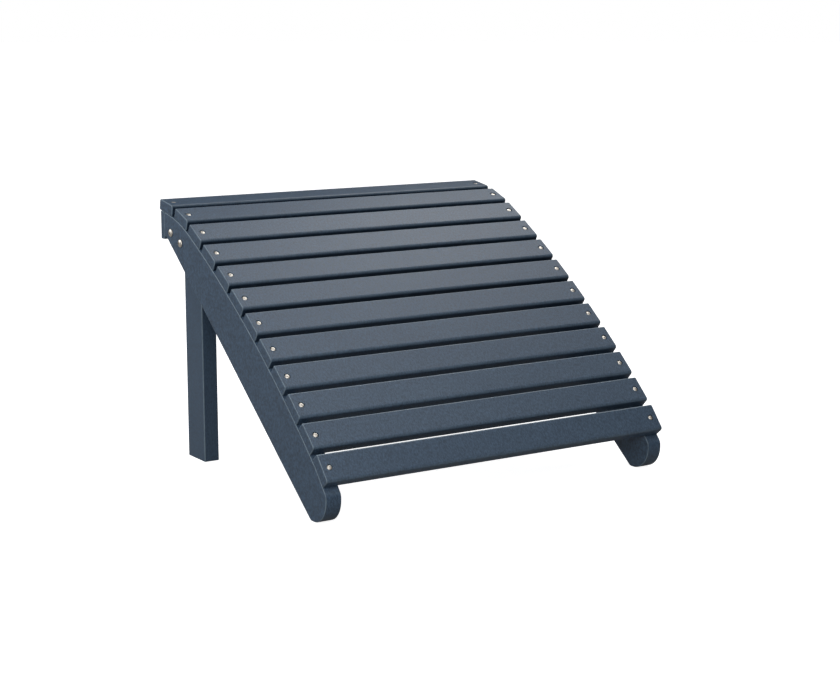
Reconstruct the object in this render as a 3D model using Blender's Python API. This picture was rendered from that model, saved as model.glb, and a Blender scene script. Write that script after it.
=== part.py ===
"""Adirondack footrest in HDPE plastic lumber.

Twelve slats lie across two curved side rails.  Each rail runs from a rounded
foot on the floor at the low front end up to the rear, where an apron board
closes the ends and an upright leg is screwed to its inner face.

Metres, +Z up, X along the slats, the low front end towards -Y.
The side profile is drawn in two coordinates, D (distance rearward from the
foot's reference point) and Z (height above the floor).
"""

import math

import bmesh
import bpy
from mathutils import Matrix, Vector

# ---------------------------------------------------------------- dimensions
GAP = 0.0003                 # clearance between pieces that touch

WIDTH = 0.500                # over the slat ends and the rails' outer faces
DEPTH_CENTRE = 0.19743       # D of the middle of the object

# slats
SLAT_COUNT = 12
SLAT_WIDTH = 0.0368
SLAT_THICK = 0.0140
SLAT_FRONT_R = 0.0034        # the front top edge is rounded over most
SLAT_EDGE_R = 0.0020
SLAT_LIP_R = 0.0010          # the front bottom edge stays sharper
SLAT_PITCH = 0.044156        # along the deck's top surface
SLAT_FIRST = 0.01707         # from the deck line's start to the first slat
FIRST_SLAT_SHIFT = -0.0022   # the rear slat sits a little further back
LAST_SLAT_SHIFT = 0.0013     # and the front slat a little further down

# the deck line: the slats' top surface seen from the side
DECK_START_D = 0.4079
DECK_START_Z = 0.3415
DECK_START_ANGLE = math.radians(5.41)    # falls towards the front
DECK_ARCS = ((0.2334, 0.0954),           # (radius, length), rear to front
             (1.4587, 0.3921),
             (0.1493, 0.0156))

# side rails
RAIL_THICK = 0.0210
RAIL_REAR_D = 0.3995
RAIL_TAIL_Z = 0.2945         # the rear end's flat underside
RAIL_NOSE_D = -0.0163
RAIL_NOSE_TOP_R = 0.0110
RAIL_NOSE_FRONT_R = 0.0300
RAIL_HEEL_D = 0.0198         # where the lower edge would meet the floor
RAIL_HEEL_R = 0.0090
RAIL_LOWER_ANGLE = math.radians(38.17)
RAIL_END_R = 0.0020
RAIL_EDGE_R = 0.0010

# rear legs
LEG_THICK = 0.0210
LEG_FRONT_D = 0.3388
LEG_REAR_D = 0.3873
LEG_EDGE_R = 0.0015
LEG_TOP_REAR_Z = 0.3165
LEG_TOP_ANGLE = math.radians(20.5)

# rear apron
APRON_THICK = 0.0100
APRON_LOW_Z = 0.2906
APRON_EDGE_R = 0.0012

# slat and apron screws: pan head set into a shallow counterbore
SCREW_INSET = 0.0106         # from the slat's end
REAR_SCREW_SHIFT = 0.0008    # the rear slat's screws sit forward of its middle
SCREW_LENGTH = 0.0240        # under the head
SCREW_SHANK_R = 0.0020
SCREW_HEAD_R = 0.0032
SCREW_HEAD_H = 0.0018
SCREW_SOCKET_R = 0.0012
SCREW_SOCKET_DEPTH = 0.0010
BORE_R = 0.0040
BORE_DEPTH = 0.0020
HOLE_R = SCREW_SHANK_R + GAP

# leg screws: large button heads standing proud of the rail
LEG_SCREW_SPOTS = ((0.3796, 0.3010), (0.3518, 0.2902))   # (D, Z)
LEG_SCREW_LENGTH = 0.0370
LEG_SCREW_SHANK_R = 0.0030
LEG_SCREW_HEAD_R = 0.0052
LEG_SCREW_HEAD_H = 0.0028
LEG_SCREW_SOCKET_R = 0.0020
LEG_HOLE_R = LEG_SCREW_SHANK_R + GAP

APRON_SCREW_Z = 0.3095
APRON_SCREW_INSET = 0.0156   # passes beside the rear slat's own screw

ROUND_SEGMENTS = 12


# ------------------------------------------------------------------ clearing
def clear_scene():
    for ob in list(bpy.data.objects):
        bpy.data.objects.remove(ob, do_unlink=True)
    for collection in (bpy.data.meshes, bpy.data.materials, bpy.data.curves):
        for block in list(collection):
            collection.remove(block)


# ----------------------------------------------------------------- materials
def material(name, colour, roughness, metallic=0.0):
    mat = bpy.data.materials.new(name)
    mat.use_nodes = True
    bsdf = mat.node_tree.nodes["Principled BSDF"]
    bsdf.inputs["Base Color"].default_value = (*colour, 1.0)
    bsdf.inputs["Roughness"].default_value = roughness
    bsdf.inputs["Metallic"].default_value = metallic
    mat.diffuse_color = (*colour, 1.0)
    mat.roughness = roughness
    mat.metallic = metallic
    return mat


# ---------------------------------------------------------- the deck's curve
def deck_point(s, below=0.0):
    """D, Z and fall angle at a distance s along the deck line.

    below moves the point down along the line's normal."""
    d, z, a = DECK_START_D, DECK_START_Z, DECK_START_ANGLE
    left = s
    for radius, length in DECK_ARCS:
        step = min(left, length)
        turn = step / radius
        d -= radius * (math.sin(a + turn) - math.sin(a))
        z -= radius * (math.cos(a) - math.cos(a + turn))
        a += turn
        left -= step
        if left <= 0.0:
            break
    if left > 0.0:
        d -= left * math.cos(a)
        z -= left * math.sin(a)
    return d + below * math.sin(a), z - below * math.cos(a), a


def slat_place(index):
    """Middle of a slat's top face, and its fall angle."""
    shift = 0.0
    if index == 0:
        shift = FIRST_SLAT_SHIFT
    elif index == SLAT_COUNT - 1:
        shift = LAST_SLAT_SHIFT
    return deck_point(SLAT_FIRST + index * SLAT_PITCH + shift)


def to_world(d, z, x=0.0):
    return Vector((x, d - DEPTH_CENTRE, z))


# ------------------------------------------------------------- mesh builders
def fillet(points, radii, segments):
    """Round the corners of a closed outline; a radius of 0 keeps a point."""
    out = []
    count = len(points)
    for i in range(count):
        p = Vector(points[i])
        r = radii[i]
        if r <= 0.0:
            out.append(p)
            continue
        to_prev = (Vector(points[i - 1]) - p).normalized()
        to_next = (Vector(points[(i + 1) % count]) - p).normalized()
        half = to_prev.angle(to_next) / 2.0
        cut = r / math.tan(half)
        centre = p + (to_prev + to_next).normalized() * (r / math.sin(half))
        start = p + to_prev * cut - centre
        end = p + to_next * cut - centre
        sweep = start.angle(end)
        turn = 1.0 if start.cross(end) > 0.0 else -1.0
        for k in range(segments + 1):
            t = turn * sweep * k / segments
            out.append(centre + Vector((
                start.x * math.cos(t) - start.y * math.sin(t),
                start.x * math.sin(t) + start.y * math.cos(t))))
    return out


def extrude_outline(name, outline, low, high, place):
    """Closed prism: a 2-D outline swept from low to high.

    place maps (u, v, w) to a position."""
    bm = bmesh.new()
    ring = [bm.verts.new(place(p[0], p[1], low)) for p in outline]
    face = bm.faces.new(ring)
    swept = bmesh.ops.extrude_face_region(bm, geom=[face])
    move = Vector(place(0.0, 0.0, high)) - Vector(place(0.0, 0.0, low))
    bmesh.ops.translate(bm, vec=move, verts=[
        g for g in swept["geom"] if isinstance(g, bmesh.types.BMVert)])
    bmesh.ops.recalc_face_normals(bm, faces=bm.faces)
    mesh = bpy.data.meshes.new(name)
    bm.to_mesh(mesh)
    bm.free()
    return mesh


def turned(name, profile, segments=ROUND_SEGMENTS):
    """Closed solid of revolution about Z from (radius, height) pairs.

    The first and last pairs lie on the axis."""
    bm = bmesh.new()
    rings = []
    for radius, height in profile:
        if radius == 0.0:
            rings.append([bm.verts.new((0.0, 0.0, height))])
        else:
            rings.append([bm.verts.new((
                radius * math.cos(math.tau * k / segments),
                radius * math.sin(math.tau * k / segments), height))
                for k in range(segments)])
    for lower, upper in zip(rings, rings[1:]):
        for k in range(segments):
            n = (k + 1) % segments
            if len(lower) == 1:
                bm.faces.new((lower[0], upper[n], upper[k]))
            elif len(upper) == 1:
                bm.faces.new((lower[k], lower[n], upper[0]))
            else:
                bm.faces.new((lower[k], lower[n], upper[n], upper[k]))
    bmesh.ops.recalc_face_normals(bm, faces=bm.faces)
    mesh = bpy.data.meshes.new(name)
    bm.to_mesh(mesh)
    bm.free()
    return mesh


def smooth(mesh, angle=math.radians(35.0)):
    mesh.shade_smooth()
    mesh.set_sharp_from_angle(angle=angle)


def add_object(name, mesh, mat=None):
    ob = bpy.data.objects.new(name, mesh)
    bpy.context.scene.collection.objects.link(ob)
    if mat is not None:
        mesh.materials.clear()
        mesh.materials.append(mat)
    return ob


def joined(name, mesh, matrices):
    """One mesh holding a separate copy of mesh at each matrix."""
    bm = bmesh.new()
    for matrix in matrices:
        before = len(bm.verts)
        bm.from_mesh(mesh)
        bm.verts.ensure_lookup_table()
        bmesh.ops.transform(bm, matrix=matrix, verts=bm.verts[before:])
    out = bpy.data.meshes.new(name)
    bm.to_mesh(out)
    bm.free()
    return out


def cutter(name, mesh):
    ob = add_object(name, mesh)
    ob.hide_render = True
    ob.display_type = 'WIRE'
    return ob


def cut(ob, tool):
    mod = ob.modifiers.new("cut_" + tool.name, 'BOOLEAN')
    mod.operation = 'DIFFERENCE'
    mod.solver = 'EXACT'
    mod.object = tool
    return mod


def bevel(ob, width, segments):
    mod = ob.modifiers.new("edges", 'BEVEL')
    mod.width = width
    mod.segments = segments
    mod.limit_method = 'ANGLE'
    mod.angle_limit = math.radians(60.0)
    return mod


# ------------------------------------------------------------- screw shapes
def screw_mesh(name, head_r, head_h, shank_r, length, socket_r, socket_depth,
               dome):
    """Screw along -Z with the seat of its head at Z = 0."""
    profile = [(0.0, head_h - socket_depth),
               (socket_r, head_h - socket_depth),
               (socket_r, head_h - 0.08 * dome * head_h),
               (0.66 * head_r, head_h * (1.0 - 0.30 * dome)),
               (0.92 * head_r, head_h * (1.0 - 0.62 * dome)),
               (head_r, head_h * 0.22 * dome),
               (head_r * 0.985, 0.0),
               (shank_r, 0.0),
               (shank_r, -length + 1.6 * shank_r),
               (0.0, -length)]
    mesh = turned(name, profile[::-1])
    smooth(mesh)
    return mesh


def down_matrix(point, axis):
    """Places a piece drawn along -Z so that its +Z is turned to axis."""
    turn = Vector((0.0, 0.0, 1.0)).rotation_difference(axis).to_matrix()
    return Matrix.Translation(point) @ turn.to_4x4()


def slat_normal(angle):
    return Vector((0.0, -math.sin(angle), math.cos(angle)))


def side_x(side, inset):
    return side * (WIDTH / 2.0 - inset)


# --------------------------------------------------------------------- build
clear_scene()

hdpe_deck = (0.105, 0.135, 0.175)
hdpe_side = (0.085, 0.112, 0.150)
steel = (0.72, 0.70, 0.66)

SIDES = (("left", -1.0), ("right", 1.0))


# rail outline in D and Z, from the rear top forwards
def rail_outline():
    below = SLAT_THICK + GAP
    low, high = 0.0, 0.05
    for _ in range(50):
        mid = (low + high) / 2.0
        if deck_point(mid, below)[0] > RAIL_REAR_D:
            low = mid
        else:
            high = mid
    first = high
    last = sum(length for _, length in DECK_ARCS)
    steps = 30
    top = [deck_point(first + (last - first) * k / steps, below)[:2]
           for k in range(steps + 1)]
    d_end, z_end, a_end = deck_point(last, below)
    nose_z = z_end - (d_end - RAIL_NOSE_D) * math.tan(a_end)
    tail_d = RAIL_HEEL_D + RAIL_TAIL_Z / math.tan(RAIL_LOWER_ANGLE)
    points = top + [(RAIL_NOSE_D, nose_z), (RAIL_NOSE_D, 0.0),
                    (RAIL_HEEL_D, 0.0), (tail_d, RAIL_TAIL_Z),
                    (RAIL_REAR_D, RAIL_TAIL_Z)]
    radii = ([RAIL_END_R] + [0.0] * (len(top) - 1)
             + [RAIL_NOSE_TOP_R, RAIL_NOSE_FRONT_R, RAIL_HEEL_R, 0.0,
                RAIL_END_R * 0.5])
    rounded = []
    for i, (p, r) in enumerate(zip(points, radii)):
        prev_p = points[i - 1]
        next_p = points[(i + 1) % len(points)]
        if r <= 0.0:
            rounded.append(Vector(p))
        else:
            segments = max(2, round(r / 0.0030))
            rounded += fillet([prev_p, p, next_p], [0.0, r, 0.0],
                              segments)[1:-1]
    return rounded



def apron_outline():
    """Corners of the apron; its top follows the rear slat's underside."""
    d, z, a = slat_place(0)
    under = z - (SLAT_THICK + GAP) / math.cos(a)
    front = RAIL_REAR_D + GAP
    rear = front + APRON_THICK
    return [(front, APRON_LOW_Z), (rear, APRON_LOW_Z),
            (rear, under + (rear - d) * math.tan(a)),
            (front, under + (front - d) * math.tan(a))]


# the places of the screws
slat_frames = [slat_place(i) for i in range(SLAT_COUNT)]


def slat_screw_matrix(index, side):
    d, z, a = slat_frames[index]
    if index == 0:
        d -= REAR_SCREW_SHIFT * math.cos(a)
        z -= REAR_SCREW_SHIFT * math.sin(a)
    normal = slat_normal(a)
    seat = to_world(d, z, side_x(side, SCREW_INSET)) - normal * BORE_DEPTH
    return down_matrix(seat + normal * GAP, normal)


def apron_screw_matrix(side):
    rear = RAIL_REAR_D + GAP + APRON_THICK
    return down_matrix(to_world(rear - BORE_DEPTH + GAP, APRON_SCREW_Z,
                                side_x(side, APRON_SCREW_INSET)),
                       Vector((0.0, 1.0, 0.0)))


def leg_screw_matrices(side):
    return [down_matrix(to_world(d, z, side_x(side, -GAP)),
                        Vector((side, 0.0, 0.0)))
            for d, z in LEG_SCREW_SPOTS]


# ------------------------------------------------------------------- screws
small_screw = screw_mesh("small_screw", SCREW_HEAD_R, SCREW_HEAD_H,
                         SCREW_SHANK_R, SCREW_LENGTH, SCREW_SOCKET_R,
                         SCREW_SOCKET_DEPTH, 0.55)
leg_screw = screw_mesh("leg_screw", LEG_SCREW_HEAD_R, LEG_SCREW_HEAD_H,
                       LEG_SCREW_SHANK_R, LEG_SCREW_LENGTH,
                       LEG_SCREW_SOCKET_R, LEG_SCREW_HEAD_H * 0.55, 1.0)
small_hole = turned("small_hole", [(0.0, -SCREW_LENGTH - 0.0010),
                                   (HOLE_R, -SCREW_LENGTH - 0.0003),
                                   (HOLE_R, -GAP),
                                   (BORE_R, -GAP),
                                   (BORE_R, BORE_DEPTH + 0.002),
                                   (0.0, BORE_DEPTH + 0.002)])
leg_hole = turned("leg_hole", [(0.0, -LEG_SCREW_LENGTH - 0.0010),
                               (LEG_HOLE_R, -LEG_SCREW_LENGTH - 0.0003),
                               (LEG_HOLE_R, 0.004),
                               (0.0, 0.004)])

stainless = material("stainless_steel", steel, 0.30, 1.0)
for side_name, side in SIDES:
    for i in range(SLAT_COUNT):
        add_object("slat_screw_%02d_%s" % (i + 1, side_name), small_screw,
                   stainless).matrix_world = slat_screw_matrix(i, side)
    for name, matrix in zip(("rear", "front"), leg_screw_matrices(side)):
        add_object("leg_screw_%s_%s" % (name, side_name), leg_screw,
                   stainless).matrix_world = matrix
    add_object("apron_screw_" + side_name, small_screw,
               stainless).matrix_world = apron_screw_matrix(side)

# -------------------------------------------------------------------- slats
half_w = SLAT_WIDTH / 2.0
slat_profile = fillet([(-half_w, 0.0), (half_w, 0.0),
                       (half_w, -SLAT_THICK), (-half_w, -SLAT_THICK)],
                      [SLAT_EDGE_R, SLAT_FRONT_R, SLAT_LIP_R, SLAT_EDGE_R],
                      4)

for i, (d, z, a) in enumerate(slat_frames):
    name = "slat_%02d" % (i + 1)
    origin = to_world(d, z)
    along = Vector((0.0, -math.cos(a), -math.sin(a)))
    normal = slat_normal(a)
    mesh = extrude_outline(
        name, slat_profile, -WIDTH / 2.0, WIDTH / 2.0,
        lambda u, v, w: origin + along * u + normal * v
        + Vector((w, 0.0, 0.0)))
    smooth(mesh)
    slat = add_object(name, mesh, material(name, hdpe_deck, 0.48))
    holes = cutter("holes_" + name, joined(
        "holes_" + name, small_hole,
        [slat_screw_matrix(i, side) for _, side in SIDES]))
    cut(slat, holes)

# -------------------------------------------------------------------- rails
outline = rail_outline()
for side_name, side in SIDES:
    name = "side_rail_" + side_name
    outer = side_x(side, 0.0)
    inner = side_x(side, RAIL_THICK)
    mesh = extrude_outline(name, outline, min(outer, inner),
                           max(outer, inner),
                           lambda u, v, w: to_world(u, v, w))
    smooth(mesh)
    rail = add_object(name, mesh, material(name, hdpe_side, 0.50))
    bevel(rail, RAIL_EDGE_R, 2)
    matrices = [slat_screw_matrix(i, side) for i in range(SLAT_COUNT)]
    matrices.append(apron_screw_matrix(side))
    cut(rail, cutter("screw_holes_" + name,
                     joined("screw_holes_" + name, small_hole, matrices)))
    cut(rail, cutter("leg_holes_" + name,
                     joined("leg_holes_" + name, leg_hole,
                            leg_screw_matrices(side))))

# --------------------------------------------------------------------- legs
for side_name, side in SIDES:
    name = "rear_leg_" + side_name
    near = RAIL_THICK + GAP
    x_a = side_x(side, near)
    x_b = side_x(side, near + LEG_THICK)
    footprint = fillet([(min(x_a, x_b), LEG_FRONT_D),
                        (max(x_a, x_b), LEG_FRONT_D),
                        (max(x_a, x_b), LEG_REAR_D),
                        (min(x_a, x_b), LEG_REAR_D)],
                       [LEG_EDGE_R] * 4, 3)
    mesh = extrude_outline(name, footprint, 0.0, LEG_TOP_REAR_Z,
                           lambda u, v, w: to_world(v, w, u))
    # slope the top to clear the slats above it
    for vert in mesh.vertices:
        if vert.co.z > 0.5 * LEG_TOP_REAR_Z:
            behind = LEG_REAR_D - DEPTH_CENTRE - vert.co.y
            vert.co.z = LEG_TOP_REAR_Z - behind * math.tan(LEG_TOP_ANGLE)
    smooth(mesh)
    leg = add_object(name, mesh, material(name, hdpe_side, 0.50))
    cut(leg, cutter("leg_holes_" + name,
                    joined("leg_holes_" + name, leg_hole,
                           leg_screw_matrices(side))))

# -------------------------------------------------------------------- apron
apron_profile = fillet(apron_outline(), [APRON_EDGE_R] * 4, 3)
mesh = extrude_outline("rear_apron", apron_profile, -WIDTH / 2.0,
                       WIDTH / 2.0, lambda u, v, w: to_world(u, v, w))
smooth(mesh)
apron = add_object("rear_apron", mesh, material("rear_apron", hdpe_side, 0.48))
cut(apron, cutter("holes_rear_apron", joined(
    "holes_rear_apron", small_hole,
    [apron_screw_matrix(side) for _, side in SIDES])))
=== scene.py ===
"""Looks for the slatted footrest: detailed lumber boards and screws built
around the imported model, a plain pale floor, soft studio light and a camera."""

import math

import bmesh
import bpy
from mathutils import Matrix, Vector


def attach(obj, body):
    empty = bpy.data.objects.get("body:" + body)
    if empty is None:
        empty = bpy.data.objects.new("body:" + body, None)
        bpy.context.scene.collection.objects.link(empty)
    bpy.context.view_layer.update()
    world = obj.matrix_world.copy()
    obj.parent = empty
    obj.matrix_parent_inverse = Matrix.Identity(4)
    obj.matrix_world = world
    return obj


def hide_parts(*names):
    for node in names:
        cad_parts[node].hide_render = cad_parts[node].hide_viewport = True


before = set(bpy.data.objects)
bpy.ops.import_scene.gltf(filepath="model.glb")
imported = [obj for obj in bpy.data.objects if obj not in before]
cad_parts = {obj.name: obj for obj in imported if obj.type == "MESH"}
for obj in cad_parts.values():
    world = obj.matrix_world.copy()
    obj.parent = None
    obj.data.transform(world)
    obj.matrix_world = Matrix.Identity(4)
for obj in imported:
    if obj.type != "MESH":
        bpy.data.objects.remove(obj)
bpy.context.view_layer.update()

# ------------------------------------------------ dimensions shared with CAD
GAP = 0.0003
WIDTH = 0.500
DEPTH_CENTRE = 0.19743
SLAT_COUNT = 12
SLAT_WIDTH = 0.0368
SLAT_THICK = 0.0140
SLAT_FRONT_R = 0.0036
SLAT_EDGE_R = 0.0022
SLAT_LIP_R = 0.0010
SLAT_PITCH = 0.044156
SLAT_FIRST = 0.01707
FIRST_SLAT_SHIFT = -0.0022
LAST_SLAT_SHIFT = 0.0013
DECK_START_D = 0.4079
DECK_START_Z = 0.3415
DECK_START_ANGLE = math.radians(5.41)
DECK_ARCS = ((0.2334, 0.0954), (1.4587, 0.3921), (0.1493, 0.0156))
RAIL_THICK = 0.0210
RAIL_REAR_D = 0.3995
RAIL_TAIL_Z = 0.2945
RAIL_NOSE_D = -0.0163
RAIL_NOSE_TOP_R = 0.0110
RAIL_NOSE_FRONT_R = 0.0300
RAIL_HEEL_D = 0.0198
RAIL_HEEL_R = 0.0090
RAIL_LOWER_ANGLE = math.radians(38.17)
RAIL_END_R = 0.0020
RAIL_EDGE_R = 0.0010
LEG_THICK = 0.0210
LEG_FRONT_D = 0.3388
LEG_REAR_D = 0.3873
LEG_EDGE_R = 0.0015
LEG_TOP_REAR_Z = 0.3165
LEG_TOP_ANGLE = math.radians(20.5)
APRON_THICK = 0.0100
APRON_LOW_Z = 0.2906
APRON_EDGE_R = 0.0012
SCREW_INSET = 0.0106
REAR_SCREW_SHIFT = 0.0008
SCREW_LENGTH = 0.0240
SCREW_SHANK_R = 0.0020
SCREW_HEAD_R = 0.0032
SCREW_HEAD_H = 0.0018
BORE_R = 0.0040
BORE_DEPTH = 0.0020
LEG_SCREW_SPOTS = ((0.3796, 0.3010), (0.3518, 0.2902))
LEG_SCREW_LENGTH = 0.0370
LEG_SCREW_SHANK_R = 0.0030
LEG_SCREW_HEAD_R = 0.0052
LEG_SCREW_HEAD_H = 0.0028
APRON_SCREW_Z = 0.3095
APRON_SCREW_INSET = 0.0156

SIDES = (("left", -1.0), ("right", 1.0))


def deck_point(s, below=0.0):
    d, z, a = DECK_START_D, DECK_START_Z, DECK_START_ANGLE
    left = s
    for radius, length in DECK_ARCS:
        step = min(left, length)
        turn = step / radius
        d -= radius * (math.sin(a + turn) - math.sin(a))
        z -= radius * (math.cos(a) - math.cos(a + turn))
        a += turn
        left -= step
        if left <= 0.0:
            break
    if left > 0.0:
        d -= left * math.cos(a)
        z -= left * math.sin(a)
    return d + below * math.sin(a), z - below * math.cos(a), a


def slat_place(index):
    shift = 0.0
    if index == 0:
        shift = FIRST_SLAT_SHIFT
    elif index == SLAT_COUNT - 1:
        shift = LAST_SLAT_SHIFT
    return deck_point(SLAT_FIRST + index * SLAT_PITCH + shift)


def to_world(d, z, x=0.0):
    return Vector((x, d - DEPTH_CENTRE, z))


def side_x(side, inset):
    return side * (WIDTH / 2.0 - inset)


def slat_normal(angle):
    return Vector((0.0, -math.sin(angle), math.cos(angle)))


def down_matrix(point, axis):
    turn = Vector((0.0, 0.0, 1.0)).rotation_difference(axis).to_matrix()
    return Matrix.Translation(point) @ turn.to_4x4()


def slat_screw_matrix(index, side):
    d, z, a = slat_place(index)
    if index == 0:
        d -= REAR_SCREW_SHIFT * math.cos(a)
        z -= REAR_SCREW_SHIFT * math.sin(a)
    normal = slat_normal(a)
    seat = to_world(d, z, side_x(side, SCREW_INSET)) - normal * BORE_DEPTH
    return down_matrix(seat + normal * GAP, normal)


def apron_screw_matrix(side):
    rear = RAIL_REAR_D + GAP + APRON_THICK
    return down_matrix(to_world(rear - BORE_DEPTH + GAP, APRON_SCREW_Z,
                                side_x(side, APRON_SCREW_INSET)),
                       Vector((0.0, 1.0, 0.0)))


def leg_screw_matrix(spot, side):
    d, z = LEG_SCREW_SPOTS[spot]
    return down_matrix(to_world(d, z, side_x(side, -GAP)),
                       Vector((side, 0.0, 0.0)))


# ------------------------------------------------------------- mesh builders
def fillet(points, radii, segments):
    """Rounds the corners of a closed outline.

    Gives (point, edge) pairs, where edge is 1 in the middle of a rounded
    corner and 0 on the flats."""
    out = []
    count = len(points)
    for i in range(count):
        p = Vector(points[i])
        r = radii[i]
        if r <= 0.0:
            out.append((p, 0.0))
            continue
        to_prev = (Vector(points[i - 1]) - p).normalized()
        to_next = (Vector(points[(i + 1) % count]) - p).normalized()
        half = to_prev.angle(to_next) / 2.0
        cut = r / math.tan(half)
        centre = p + (to_prev + to_next).normalized() * (r / math.sin(half))
        start = p + to_prev * cut - centre
        end = p + to_next * cut - centre
        sweep = start.angle(end)
        turn = 1.0 if start.cross(end) > 0.0 else -1.0
        n = segments if isinstance(segments, int) else segments[i]
        for k in range(n + 1):
            t = turn * sweep * k / n
            out.append((centre + Vector((
                start.x * math.cos(t) - start.y * math.sin(t),
                start.x * math.sin(t) + start.y * math.cos(t))),
                math.sin(math.pi * k / n)))
    return out


def offset_outline(pairs, inset):
    """Moves a closed outline inwards by inset along its vertex normals."""
    pts = [p for p, _ in pairs]
    n = len(pts)
    area = sum(pts[i].cross(pts[(i + 1) % n]) for i in range(n))
    sign = 1.0 if area > 0.0 else -1.0
    out = []
    for i in range(n):
        e1 = (pts[i] - pts[i - 1]).normalized()
        e2 = (pts[(i + 1) % n] - pts[i]).normalized()
        n1 = Vector((-e1.y, e1.x)) * sign
        n2 = Vector((-e2.y, e2.x)) * sign
        m = n1 + n2
        m = m / max(m.length_squared, 1e-9) * 2.0
        if m.length > 1.6:
            m = m.normalized() * 1.6
        out.append(pts[i] + m * inset)
    return out


def rounded_prism(name, pairs, low, high, place, end_r, end_steps=3,
                  spans=1, ease=None, shade=None):
    """A closed prism with its end edges eased by end_r.

    The mesh holds an 'edge' attribute, 1 on worn edges, which also carry a
    painted highlight line, and 0 on flats."""
    bm = bmesh.new()
    layer = bm.verts.layers.float.new("edge")
    # painted shade for the faces that look into the gaps between slats
    gap_shade_layer = bm.verts.layers.float.new("painted_gap_shade")
    # from the end face inwards
    stations = [(low + end_r * (1.0 - math.cos(math.pi / 2.0 * k / end_steps)),
                 end_r * (1.0 - math.sin(math.pi / 2.0 * k / end_steps)),
                 math.sin(math.pi * k / end_steps))
                for k in range(end_steps + 1)]
    inner = [(low + end_r + (high - low - 2.0 * end_r) * j / spans, 0.0, 0.0)
             for j in range(1, spans)]
    if shade is not None:
        inner = [(low + end_r + 0.0006, 0.0, 0.0),
                 (high - end_r - 0.0006, 0.0, 0.0)]
    mirrored = [(high + low - w, inset, e) for w, inset, e in stations[::-1]]
    rings = []
    within = range(len(stations), len(stations) + len(inner))
    caps = (0, len(stations) + len(inner) + len(mirrored) - 1)
    for number, (w, inset, e) in enumerate(stations + inner + mirrored):
        pts = offset_outline(pairs, inset) if inset > 0.0 else [
            p for p, _ in pairs]
        ring = []
        for (_, corner), p in zip(pairs, pts):
            v = bm.verts.new(place(p[0], p[1], w))
            v[layer] = 0.0 if number in caps else max(corner, e)
            if shade is not None and number in within:
                v[gap_shade_layer] = shade(p[0], p[1])
            ring.append(v)
        rings.append(ring)
    n = len(pairs)
    for a, b in zip(rings, rings[1:]):
        for i in range(n):
            j = (i + 1) % n
            bm.faces.new((a[i], a[j], b[j], b[i]))
    bm.faces.new(rings[0][::-1])
    bm.faces.new(rings[-1])
    bmesh.ops.recalc_face_normals(bm, faces=bm.faces)
    mesh = bpy.data.meshes.new(name)
    bm.to_mesh(mesh)
    bm.free()
    return mesh


def turned(name, profile, segments):
    bm = bmesh.new()
    rings = []
    for radius, height in profile:
        if radius == 0.0:
            rings.append([bm.verts.new((0.0, 0.0, height))])
        else:
            rings.append([bm.verts.new((
                radius * math.cos(math.tau * k / segments),
                radius * math.sin(math.tau * k / segments), height))
                for k in range(segments)])
    for lower, upper in zip(rings, rings[1:]):
        for k in range(segments):
            n = (k + 1) % segments
            if len(lower) == 1:
                bm.faces.new((lower[0], upper[n], upper[k]))
            elif len(upper) == 1:
                bm.faces.new((lower[k], lower[n], upper[0]))
            else:
                bm.faces.new((lower[k], lower[n], upper[n], upper[k]))
    bmesh.ops.recalc_face_normals(bm, faces=bm.faces)
    mesh = bpy.data.meshes.new(name)
    bm.to_mesh(mesh)
    bm.free()
    return mesh


def add(name, mesh, mat):
    ob = bpy.data.objects.new(name, mesh)
    bpy.context.scene.collection.objects.link(ob)
    mesh.materials.clear()
    mesh.materials.append(mat)
    return ob


def apply_modifiers(ob):
    dg = bpy.context.evaluated_depsgraph_get()
    mesh = bpy.data.meshes.new_from_object(ob.evaluated_get(dg))
    ob.modifiers.clear()
    old = ob.data
    ob.data = mesh
    bpy.data.meshes.remove(old)


def cut_holes(ob, tool_mesh, matrices):
    """Cuts one turned hole per matrix, then drops the cutters."""
    for i, matrix in enumerate(matrices):
        tool = bpy.data.objects.new("tool", tool_mesh.copy())
        bpy.context.scene.collection.objects.link(tool)
        tool.matrix_world = matrix
        mod = ob.modifiers.new("hole", 'BOOLEAN')
        mod.operation = 'DIFFERENCE'
        mod.solver = 'EXACT'
        mod.object = tool
        bpy.context.view_layer.update()
        apply_modifiers(ob)
        bpy.data.objects.remove(tool)


def finish_shading(ob, degrees=32.0):
    ob.data.shade_smooth()
    ob.data.set_sharp_from_angle(angle=math.radians(degrees))
    flats = ob.modifiers.new("flats_stay_flat", 'WEIGHTED_NORMAL')
    flats.mode = 'FACE_AREA'
    flats.weight = 90
    flats.keep_sharp = True


# ----------------------------------------------------------------- materials
def new_material(name):
    mat = bpy.data.materials.new(name)
    mat.use_nodes = True
    tree = mat.node_tree
    return mat, tree, tree.nodes["Principled BSDF"]


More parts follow.
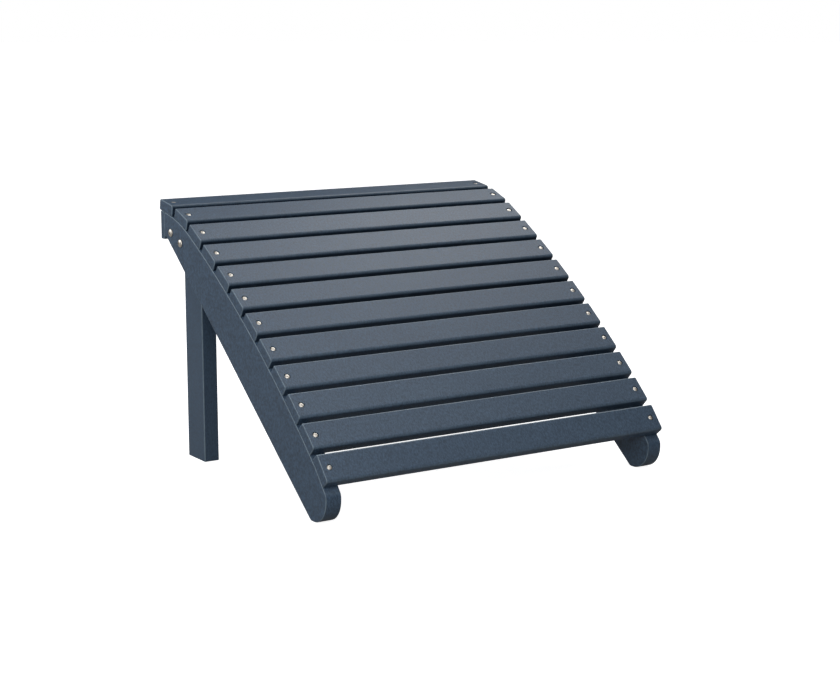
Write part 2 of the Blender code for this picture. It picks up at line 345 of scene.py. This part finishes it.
def lumber(name, base, fine=1.0, seed=0.0, grain=0.6):
    """Navy HDPE plastic lumber: satin, finely mottled, slightly orange-peel."""
    mat, tree, bsdf = new_material(name)
    nodes, links = tree.nodes, tree.links

    def node(kind, **inputs):
        n = nodes.new(kind)
        for key, value in inputs.items():
            n.inputs[key].default_value = value
        return n

    coords = nodes.new("ShaderNodeTexCoord")
    move = nodes.new("ShaderNodeMapping")
    move.inputs["Location"].default_value = (seed * 1.37, seed * 0.71,
                                             seed * 2.13)
    links.new(coords.outputs["Object"], move.inputs["Vector"])
    stretch = nodes.new("ShaderNodeMapping")
    stretch.inputs["Scale"].default_value = (1.0, 0.5, 0.5)
    links.new(move.outputs["Vector"], stretch.inputs["Vector"])

    mottle = node("ShaderNodeTexNoise", Scale=620.0, Detail=3.0,
                  Roughness=0.62)
    links.new(stretch.outputs["Vector"], mottle.inputs["Vector"])
    cloud = node("ShaderNodeTexNoise", Scale=9.0, Detail=4.0, Roughness=0.55)
    links.new(move.outputs["Vector"], cloud.inputs["Vector"])
    speck = node("ShaderNodeTexNoise", Scale=1500.0, Detail=2.0,
                 Roughness=0.5)
    links.new(move.outputs["Vector"], speck.inputs["Vector"])

    # colour: mottled navy, a little lighter on worn edges, where the lightening
    # is partly wear and partly a painted highlight line
    ramp = nodes.new("ShaderNodeValToRGB")
    ramp.color_ramp.elements[0].position = 0.34
    ramp.color_ramp.elements[1].position = 0.66
    dark = [c * (1.0 - 0.34 * fine) for c in base]
    light = [c * (1.0 + 0.36 * fine) for c in base]
    ramp.color_ramp.elements[0].color = (*dark, 1.0)
    ramp.color_ramp.elements[1].color = (*light, 1.0)
    links.new(mottle.outputs["Fac"], ramp.inputs["Fac"])

    tint = nodes.new("ShaderNodeMix")
    tint.data_type = 'RGBA'
    tint.blend_type = 'MULTIPLY'
    tint.inputs[0].default_value = 1.0
    cloud_ramp = nodes.new("ShaderNodeValToRGB")
    cloud_ramp.color_ramp.elements[0].position = 0.30
    cloud_ramp.color_ramp.elements[1].position = 0.70
    cloud_ramp.color_ramp.elements[0].color = (0.94, 0.95, 0.965, 1.0)
    cloud_ramp.color_ramp.elements[1].color = (1.06, 1.05, 1.035, 1.0)
    links.new(cloud.outputs["Fac"], cloud_ramp.inputs["Fac"])
    links.new(ramp.outputs["Color"], tint.inputs[6])
    links.new(cloud_ramp.outputs["Color"], tint.inputs[7])

    edge = nodes.new("ShaderNodeAttribute")
    edge.attribute_name = "edge"
    wear_and_shade_noise = node("ShaderNodeTexNoise", Scale=70.0, Detail=5.0,
                      Roughness=0.65)
    links.new(move.outputs["Vector"], wear_and_shade_noise.inputs["Vector"])
    wear_and_sheen_map = nodes.new("ShaderNodeMapRange")
    wear_and_sheen_map.inputs["From Min"].default_value = 0.05
    wear_and_sheen_map.inputs["From Max"].default_value = 0.55
    links.new(wear_and_shade_noise.outputs["Fac"], wear_and_sheen_map.inputs["Value"])
    wear_and_sheen = nodes.new("ShaderNodeMath")
    wear_and_sheen.operation = 'MULTIPLY'
    links.new(edge.outputs["Fac"], wear_and_sheen.inputs[0])
    links.new(wear_and_sheen_map.outputs["Result"], wear_and_sheen.inputs[1])
    wear_and_sheen_amount = nodes.new("ShaderNodeMath")
    wear_and_sheen_amount.operation = 'MULTIPLY'
    wear_and_sheen_amount.inputs[1].default_value = 0.80
    links.new(wear_and_sheen.outputs["Value"], wear_and_sheen_amount.inputs[0])
    # edge colour: partly wear, partly a painted highlight line along the rounded
    # edges
    worn_and_highlit = nodes.new("ShaderNodeMix")
    worn_and_highlit.data_type = 'RGBA'
    links.new(wear_and_sheen_amount.outputs["Value"], worn_and_highlit.inputs[0])
    links.new(tint.outputs[2], worn_and_highlit.inputs[6])
    worn_and_highlit.inputs[7].default_value = (base[0] * 4.6, base[1] * 3.5,
                                    base[2] * 2.6, 1.0)

    # painted shade on the faces that look into the gaps between slats, with less
    # gloss there
    painted_gap_shade = nodes.new("ShaderNodeAttribute")
    painted_gap_shade.attribute_name = "painted_gap_shade"
    gap_shade_variation = nodes.new("ShaderNodeMapRange")
    gap_shade_variation.inputs["From Min"].default_value = 0.20
    gap_shade_variation.inputs["From Max"].default_value = 0.45
    gap_shade_variation.inputs["To Min"].default_value = 0.60
    gap_shade_variation.inputs["To Max"].default_value = 0.95
    links.new(wear_and_shade_noise.outputs["Fac"], gap_shade_variation.inputs["Value"])
    gap_shade_amount = nodes.new("ShaderNodeMath")
    gap_shade_amount.operation = 'MULTIPLY'
    links.new(painted_gap_shade.outputs["Fac"], gap_shade_amount.inputs[0])
    links.new(gap_shade_variation.outputs["Result"], gap_shade_amount.inputs[1])
    gap_shaded_colour = nodes.new("ShaderNodeMix")
    gap_shaded_colour.data_type = 'RGBA'
    links.new(gap_shade_amount.outputs["Value"], gap_shaded_colour.inputs[0])
    links.new(worn_and_highlit.outputs[2], gap_shaded_colour.inputs[6])
    # the dark colour of the painted gap shade
    gap_shaded_colour.inputs[7].default_value = (base[0] * 0.22, base[1] * 0.25,
                                      base[2] * 0.28, 1.0)
    links.new(gap_shaded_colour.outputs[2], bsdf.inputs["Base Color"])
    # the painted gap shade also dims the gloss
    gap_shade_gloss = nodes.new("ShaderNodeMapRange")
    gap_shade_gloss.inputs["To Min"].default_value = 0.50
    gap_shade_gloss.inputs["To Max"].default_value = 0.12
    links.new(gap_shade_amount.outputs["Value"], gap_shade_gloss.inputs["Value"])
    links.new(gap_shade_gloss.outputs["Result"], bsdf.inputs["Specular IOR Level"])

    # roughness: satin, varying with the mottle
    rough = nodes.new("ShaderNodeMapRange")
    rough.inputs["From Min"].default_value = 0.30
    rough.inputs["From Max"].default_value = 0.70
    rough.inputs["To Min"].default_value = 0.40
    rough.inputs["To Max"].default_value = 0.54
    links.new(mottle.outputs["Fac"], rough.inputs["Value"])
    links.new(rough.outputs["Result"], bsdf.inputs["Roughness"])

    # bump: orange peel with a finer grain on top
    peel = nodes.new("ShaderNodeBump")
    peel.inputs["Strength"].default_value = 0.30 * grain
    peel.inputs["Distance"].default_value = 0.0006
    links.new(mottle.outputs["Fac"], peel.inputs["Height"])
    fine_bump = nodes.new("ShaderNodeBump")
    fine_bump.inputs["Strength"].default_value = 0.18 * grain
    fine_bump.inputs["Distance"].default_value = 0.0003
    links.new(speck.outputs["Fac"], fine_bump.inputs["Height"])
    links.new(peel.outputs["Normal"], fine_bump.inputs["Normal"])
    links.new(fine_bump.outputs["Normal"], bsdf.inputs["Normal"])

    bsdf.inputs["IOR"].default_value = 1.50
    return mat


def steel(name, seed=0.0):
    """Stainless screw heads: bright, faintly brushed."""
    mat, tree, bsdf = new_material(name)
    nodes, links = tree.nodes, tree.links
    coords = nodes.new("ShaderNodeTexCoord")
    move = nodes.new("ShaderNodeMapping")
    move.inputs["Location"].default_value = (seed, seed * 0.3, seed * 0.9)
    links.new(coords.outputs["Object"], move.inputs["Vector"])
    noise = nodes.new("ShaderNodeTexNoise")
    noise.inputs["Scale"].default_value = 1400.0
    noise.inputs["Detail"].default_value = 3.0
    links.new(move.outputs["Vector"], noise.inputs["Vector"])
    ramp = nodes.new("ShaderNodeValToRGB")
    ramp.color_ramp.elements[0].color = (0.62, 0.58, 0.52, 1.0)
    ramp.color_ramp.elements[1].color = (0.80, 0.76, 0.70, 1.0)
    links.new(noise.outputs["Fac"], ramp.inputs["Fac"])
    links.new(ramp.outputs["Color"], bsdf.inputs["Base Color"])
    rough = nodes.new("ShaderNodeMapRange")
    rough.inputs["To Min"].default_value = 0.36
    rough.inputs["To Max"].default_value = 0.50
    links.new(noise.outputs["Fac"], rough.inputs["Value"])
    links.new(rough.outputs["Result"], bsdf.inputs["Roughness"])
    bump = nodes.new("ShaderNodeBump")
    bump.inputs["Strength"].default_value = 0.10
    bump.inputs["Distance"].default_value = 0.0001
    links.new(noise.outputs["Fac"], bump.inputs["Height"])
    links.new(bump.outputs["Normal"], bsdf.inputs["Normal"])
    bsdf.inputs["Metallic"].default_value = 1.0
    return mat


NAVY = (0.0465, 0.0808, 0.130)

# --------------------------------------------------------------------- slats
hole_top = turned("hole_top", [(0.0, -GAP),
                               (BORE_R, -GAP),
                               (BORE_R, BORE_DEPTH - GAP - 0.00025),
                               (BORE_R + 0.00035, BORE_DEPTH - GAP + 0.0001),
                               (BORE_R + 0.00035, BORE_DEPTH + 0.004),
                               (0.0, BORE_DEPTH + 0.004)], 40)


def slat_board(index):
    d, z, a = slat_place(index)
    origin = to_world(d, z)
    along = Vector((0.0, -math.cos(a), -math.sin(a)))
    normal = slat_normal(a)
    hw = SLAT_WIDTH / 2.0
    profile = fillet([(-hw, 0.0), (hw, 0.0), (hw, -SLAT_THICK),
                      (-hw, -SLAT_THICK)],
                     [SLAT_EDGE_R, SLAT_FRONT_R, SLAT_LIP_R, SLAT_EDGE_R],
                     10)
    # the wide front roundover gets little wear and little painted highlight
    profile = [(p, e * (0.25 if p.x > 0.0 else 1.0)) for p, e in profile]
    node = "slat_%02d" % (index + 1)

    def painted_gap_shade_of(u, v):
        """Painted shade on the faces that look into a gap, weakest on the steep
        front slats."""
        if v < -SLAT_THICK + 0.0001:
            return 0.0
        if (u > 0.0 and index == SLAT_COUNT - 1) or (u < 0.0 and index == 0):
            return 0.0
        gap = index if u > 0.0 else index - 1
        shade_fade = min(max((gap - 5) / 4.0, 0.0), 1.0)
        return min(-v / SLAT_FRONT_R, 1.0) * (1.0 - 0.95 * shade_fade)

    mesh = rounded_prism(
        node + "_board", profile, -WIDTH / 2.0, WIDTH / 2.0,
        lambda u, v, w: origin + along * u + normal * v
        + Vector((w, 0.0, 0.0)), 0.0011, 4, shade=painted_gap_shade_of)
    ob = add(node + "_board", mesh,
             lumber("deck_lumber_%02d" % (index + 1), NAVY,
                    seed=1.0 + index))
    cut_holes(ob, hole_top, [slat_screw_matrix(index, side)
                             for _, side in SIDES])
    finish_shading(ob)
    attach(ob, "root")
    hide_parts(node)
    return ob


for i in range(SLAT_COUNT):
    slat_board(i)


# --------------------------------------------------------------------- rails
def rail_outline():
    below = SLAT_THICK + GAP
    low, high = 0.0, 0.05
    for _ in range(50):
        mid = (low + high) / 2.0
        if deck_point(mid, below)[0] > RAIL_REAR_D:
            low = mid
        else:
            high = mid
    first = high
    last = sum(length for _, length in DECK_ARCS)
    steps = 96
    top = [deck_point(first + (last - first) * k / steps, below)[:2]
           for k in range(steps + 1)]
    d_end, z_end, a_end = deck_point(last, below)
    nose_z = z_end - (d_end - RAIL_NOSE_D) * math.tan(a_end)
    tail_d = RAIL_HEEL_D + RAIL_TAIL_Z / math.tan(RAIL_LOWER_ANGLE)
    points = top + [(RAIL_NOSE_D, nose_z), (RAIL_NOSE_D, 0.0),
                    (RAIL_HEEL_D, 0.0), (tail_d, RAIL_TAIL_Z),
                    (RAIL_REAR_D, RAIL_TAIL_Z)]
    radii = ([RAIL_END_R] + [0.0] * (len(top) - 1)
             + [RAIL_NOSE_TOP_R, RAIL_NOSE_FRONT_R, RAIL_HEEL_R, 0.0,
                RAIL_END_R * 0.5])
    pairs = []
    for i, (p, r) in enumerate(zip(points, radii)):
        if r <= 0.0:
            pairs.append((Vector(p), 0.0))
        else:
            segments = max(4, round(r / 0.0012))
            pairs += [(q, 0.0) for q, _ in
                      fillet([points[i - 1], p,
                              points[(i + 1) % len(points)]],
                             [0.0, r, 0.0], segments)[1:-1]]
    return pairs


outline = rail_outline()
for side_name, side in SIDES:
    node = "side_rail_" + side_name
    outer = side_x(side, 0.0)
    inner = side_x(side, RAIL_THICK)
    mesh = rounded_prism(node + "_board", outline, min(outer, inner),
                         max(outer, inner),
                         lambda u, v, w: to_world(u, v, w),
                         RAIL_EDGE_R, end_steps=6)
    ob = add(node + "_board", mesh,
             lumber("frame_lumber_" + node, NAVY, seed=20.0 + side))
    finish_shading(ob)
    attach(ob, "root")
    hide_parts(node)

# ---------------------------------------------------------------------- legs
for side_name, side in SIDES:
    node = "rear_leg_" + side_name
    near = RAIL_THICK + GAP
    x_a = side_x(side, near)
    x_b = side_x(side, near + LEG_THICK)
    footprint = fillet([(min(x_a, x_b), LEG_FRONT_D),
                        (max(x_a, x_b), LEG_FRONT_D),
                        (max(x_a, x_b), LEG_REAR_D),
                        (min(x_a, x_b), LEG_REAR_D)],
                       [LEG_EDGE_R] * 4, 7)
    mesh = rounded_prism(node + "_board", footprint, 0.0, LEG_TOP_REAR_Z,
                         lambda u, v, w: to_world(v, w, u), 0.0006,
                         end_steps=3)
    for vert in mesh.vertices:
        if vert.co.z > 0.5 * LEG_TOP_REAR_Z:
            behind = LEG_REAR_D - DEPTH_CENTRE - vert.co.y
            vert.co.z -= behind * math.tan(LEG_TOP_ANGLE)
    ob = add(node + "_board", mesh,
             lumber("frame_lumber_" + node, NAVY, fine=0.55,
                    seed=30.0 + side, grain=0.4))
    finish_shading(ob)
    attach(ob, "root")
    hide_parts(node)

# --------------------------------------------------------------------- apron
def apron_outline():
    """Corners of the apron; its top follows the rear slat's underside."""
    d, z, a = slat_place(0)
    under = z - (SLAT_THICK + GAP) / math.cos(a)
    front = RAIL_REAR_D + GAP
    rear = front + APRON_THICK
    return [(front, APRON_LOW_Z), (rear, APRON_LOW_Z),
            (rear, under + (rear - d) * math.tan(a)),
            (front, under + (front - d) * math.tan(a))]


profile = fillet(apron_outline(), [APRON_EDGE_R] * 4, 6)
mesh = rounded_prism("rear_apron_board", profile, -WIDTH / 2.0, WIDTH / 2.0,
                     lambda u, v, w: to_world(u, v, w), 0.0008)
apron = add("rear_apron_board", mesh,
            lumber("frame_lumber_apron", NAVY, fine=0.6, seed=41.0,
                   grain=0.5))
cut_holes(apron, hole_top, [apron_screw_matrix(side) for _, side in SIDES])
finish_shading(apron)
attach(apron, "root")
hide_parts("rear_apron")


# -------------------------------------------------------------------- screws
def lobe_socket(radius, depth, top):
    """Six-lobed driver recess as a cutter along Z."""
    bm = bmesh.new()
    count = 48
    lower, upper = [], []
    for k in range(count):
        t = math.tau * k / count
        r = radius * (0.86 + 0.14 * math.cos(6.0 * t))
        lower.append(bm.verts.new((r * 0.93 * math.cos(t),
                                   r * 0.93 * math.sin(t), top - depth)))
        upper.append(bm.verts.new((r * math.cos(t), r * math.sin(t),
                                   top + depth)))
    for k in range(count):
        n = (k + 1) % count
        bm.faces.new((lower[k], lower[n], upper[n], upper[k]))
    bm.faces.new(lower[::-1])
    bm.faces.new(upper)
    bmesh.ops.recalc_face_normals(bm, faces=bm.faces)
    mesh = bpy.data.meshes.new("socket")
    bm.to_mesh(mesh)
    bm.free()
    return mesh


def screw_mesh(name, head_r, head_h, shank_r, length, socket_r, depth, dome):
    steps = 9
    profile = [(0.0, head_h)]
    for k in range(1, steps + 1):
        t = math.pi / 2.0 * k / steps
        r = head_r * math.sin(t)
        z = head_h * (1.0 - dome) + head_h * dome * math.cos(t)
        profile.append((r, z))
    profile += [(head_r, head_h * 0.12),
                (head_r * 0.975, 0.0),
                (shank_r, 0.0),
                (shank_r, -length + 1.6 * shank_r),
                (0.0, -length)]
    mesh = turned(name, profile[::-1], 40)
    ob = bpy.data.objects.new(name, mesh)
    bpy.context.scene.collection.objects.link(ob)
    tool = bpy.data.objects.new("socket_tool",
                                lobe_socket(socket_r, depth, head_h))
    bpy.context.scene.collection.objects.link(tool)
    mod = ob.modifiers.new("socket", 'BOOLEAN')
    mod.operation = 'DIFFERENCE'
    mod.solver = 'EXACT'
    mod.object = tool
    bpy.context.view_layer.update()
    apply_modifiers(ob)
    finish_shading(ob, 40.0)
    done = ob.data
    bpy.data.objects.remove(ob)
    bpy.data.objects.remove(tool)
    return done


small = screw_mesh("small_screw", SCREW_HEAD_R * 1.03, SCREW_HEAD_H * 0.78,
                   SCREW_SHANK_R, SCREW_LENGTH, 0.0011, 0.0009, 0.60)
large = screw_mesh("large_screw", LEG_SCREW_HEAD_R, LEG_SCREW_HEAD_H * 0.94,
                   LEG_SCREW_SHANK_R, LEG_SCREW_LENGTH, 0.0021, 0.0017, 0.85)
bright = steel("stainless_bright")


def place_screw(node, mesh, matrix, turn):
    ob = bpy.data.objects.new(node + "_piece", mesh.copy())
    bpy.context.scene.collection.objects.link(ob)
    ob.data.transform(matrix @ Matrix.Rotation(turn, 4, 'Z'))
    ob.data.materials.clear()
    ob.data.materials.append(bright)
    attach(ob, "root")
    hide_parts(node)


for side_name, side in SIDES:
    for i in range(SLAT_COUNT):
        place_screw("slat_screw_%02d_%s" % (i + 1, side_name), small,
                    slat_screw_matrix(i, side), 0.9 * i + side)
    for spot, name in enumerate(("rear", "front")):
        place_screw("leg_screw_%s_%s" % (name, side_name), large,
                    leg_screw_matrix(spot, side), 0.4 + 1.3 * spot)
    place_screw("apron_screw_" + side_name, small, apron_screw_matrix(side),
                0.3 * side)

# ---------------------------------------------------------- floor and lights
def camera_mix(tree, seen, unseen, target):
    """What the camera sees directly, and what lights the object instead."""
    path = tree.nodes.new("ShaderNodeLightPath")
    mix = tree.nodes.new("ShaderNodeMixShader")
    tree.links.new(path.outputs["Is Camera Ray"], mix.inputs[0])
    tree.links.new(unseen, mix.inputs[1])
    tree.links.new(seen, mix.inputs[2])
    tree.links.new(mix.outputs[0], target)


# a pale floor, bright to the eye like an overlit studio sweep
floor_mat, floor_tree, floor_bsdf = new_material("studio_floor")
floor_bsdf.inputs["Base Color"].default_value = (0.80, 0.80, 0.80, 1.0)
floor_bsdf.inputs["Roughness"].default_value = 0.9
floor_bsdf.inputs["Specular IOR Level"].default_value = 0.1
floor_bsdf.inputs["Emission Color"].default_value = (1.0, 1.0, 1.0, 1.0)
floor_bsdf.inputs["Emission Strength"].default_value = 0.90
bounce = floor_tree.nodes.new("ShaderNodeBsdfDiffuse")
bounce.inputs["Color"].default_value = (0.22, 0.22, 0.22, 1.0)
glow = floor_tree.nodes.new("ShaderNodeEmission")
glow.inputs["Color"].default_value = (1.0, 0.94, 0.86, 1.0)
glow.inputs["Strength"].default_value = 0.10
lift = floor_tree.nodes.new("ShaderNodeAddShader")
floor_tree.links.new(bounce.outputs[0], lift.inputs[0])
floor_tree.links.new(glow.outputs[0], lift.inputs[1])
camera_mix(floor_tree, floor_bsdf.outputs[0], lift.outputs[0],
           floor_tree.nodes["Material Output"].inputs["Surface"])
bm = bmesh.new()
bmesh.ops.create_circle(bm, cap_ends=True, radius=30.0, segments=64)
mesh = bpy.data.meshes.new("studio_floor")
bm.to_mesh(mesh)
bm.free()
floor = add("studio_floor", mesh, floor_mat)
floor.location.z = -0.0002

# studio walls with soft glows: (azimuth from +Y towards +X, elevation,
# sharpness, brightness)
GLOWS = ((55.0, 25.0, 12.0, 0.18), (315.0, 15.0, 12.0, 1.00),
         (200.0, 50.0, 12.0, 1.27), (62.0, 52.0, 40.0, 3.35),
         (75.0, 62.0, 40.0, 0.58), (40.0, 62.0, 40.0, 0.22),
         (160.0, 45.0, 40.0, 1.80))
# softboxes around the object: (distance, azimuth, elevation, size, brightness)
SOFTBOXES = ((1.3, 78.0, 55.0, 0.5, 0.30), (1.3, 48.0, 46.0, 0.5, 1.41),
             (2.2, 62.0, 52.0, 0.8, 1.16), (1.4, 225.0, 20.0, 0.8, 2.95),
             (1.4, 160.0, 60.0, 0.6, 1.41), (1.4, 300.0, 30.0, 0.8, 3.23))


def direction(azimuth, elevation):
    p, e = math.radians(azimuth), math.radians(elevation)
    return Vector((math.sin(p) * math.cos(e), math.cos(p) * math.cos(e),
                   math.sin(e)))


world = bpy.data.worlds.new("studio")
bpy.context.scene.world = world
world.use_nodes = True
wt = world.node_tree
background = wt.nodes["Background"]
background.inputs["Color"].default_value = (1.0, 1.0, 1.0, 1.0)
background.inputs["Strength"].default_value = 1.0
room = wt.nodes.new("ShaderNodeBackground")
room.inputs["Color"].default_value = (1.0, 1.0, 1.0, 1.0)
where = wt.nodes.new("ShaderNodeTexCoord")
total = None
for azimuth, elevation, sharpness, brightness in GLOWS:
    toward = wt.nodes.new("ShaderNodeVectorMath")
    toward.operation = 'DOT_PRODUCT'
    toward.inputs[1].default_value = direction(azimuth, elevation)
    wt.links.new(where.outputs["Generated"], toward.inputs[0])
    facing = wt.nodes.new("ShaderNodeMath")
    facing.operation = 'MAXIMUM'
    facing.inputs[1].default_value = 0.0
    wt.links.new(toward.outputs["Value"], facing.inputs[0])
    fall = wt.nodes.new("ShaderNodeMath")
    fall.operation = 'POWER'
    fall.inputs[1].default_value = sharpness
    wt.links.new(facing.outputs["Value"], fall.inputs[0])
    glow = wt.nodes.new("ShaderNodeMath")
    glow.operation = 'MULTIPLY_ADD'
    glow.inputs[1].default_value = brightness
    glow.inputs[2].default_value = 0.0
    wt.links.new(fall.outputs["Value"], glow.inputs[0])
    if total is not None:
        wt.links.new(total, glow.inputs[2])
    total = glow.outputs["Value"]
wt.links.new(total, room.inputs["Strength"])
camera_mix(wt, background.outputs[0], room.outputs[0],
           wt.nodes["World Output"].inputs["Surface"])

for index, (distance, azimuth, elevation, size, brightness) in enumerate(
        SOFTBOXES):
    light = bpy.data.lights.new("softbox_%d" % (index + 1), 'AREA')
    light.shape = 'SQUARE'
    light.size = size
    light.energy = math.pi * size * size * brightness
    ob = bpy.data.objects.new(light.name, light)
    bpy.context.scene.collection.objects.link(ob)
    away = direction(azimuth, elevation)
    ob.location = Vector((0.0, 0.0, 0.2)) + away * distance
    ob.rotation_euler = (-away).to_track_quat('-Z', 'Y').to_euler()

# -------------------------------------------------------------------- camera
camera_data = bpy.data.cameras.new("camera")
camera = bpy.data.objects.new("camera", camera_data)
bpy.context.scene.collection.objects.link(camera)
camera_data.sensor_width = 36.0
camera_data.lens = 78.23
camera_data.clip_start = 0.05
camera_data.clip_end = 100.0
camera.location = (-1.2620, -1.9737, 0.5881)
heading = math.radians(32.95)
tilt = math.radians(10.61)
camera.rotation_euler = (math.pi / 2.0 - tilt, 0.0, -heading)
bpy.context.scene.camera = camera

bpy.context.scene.view_settings.view_transform = 'Standard'
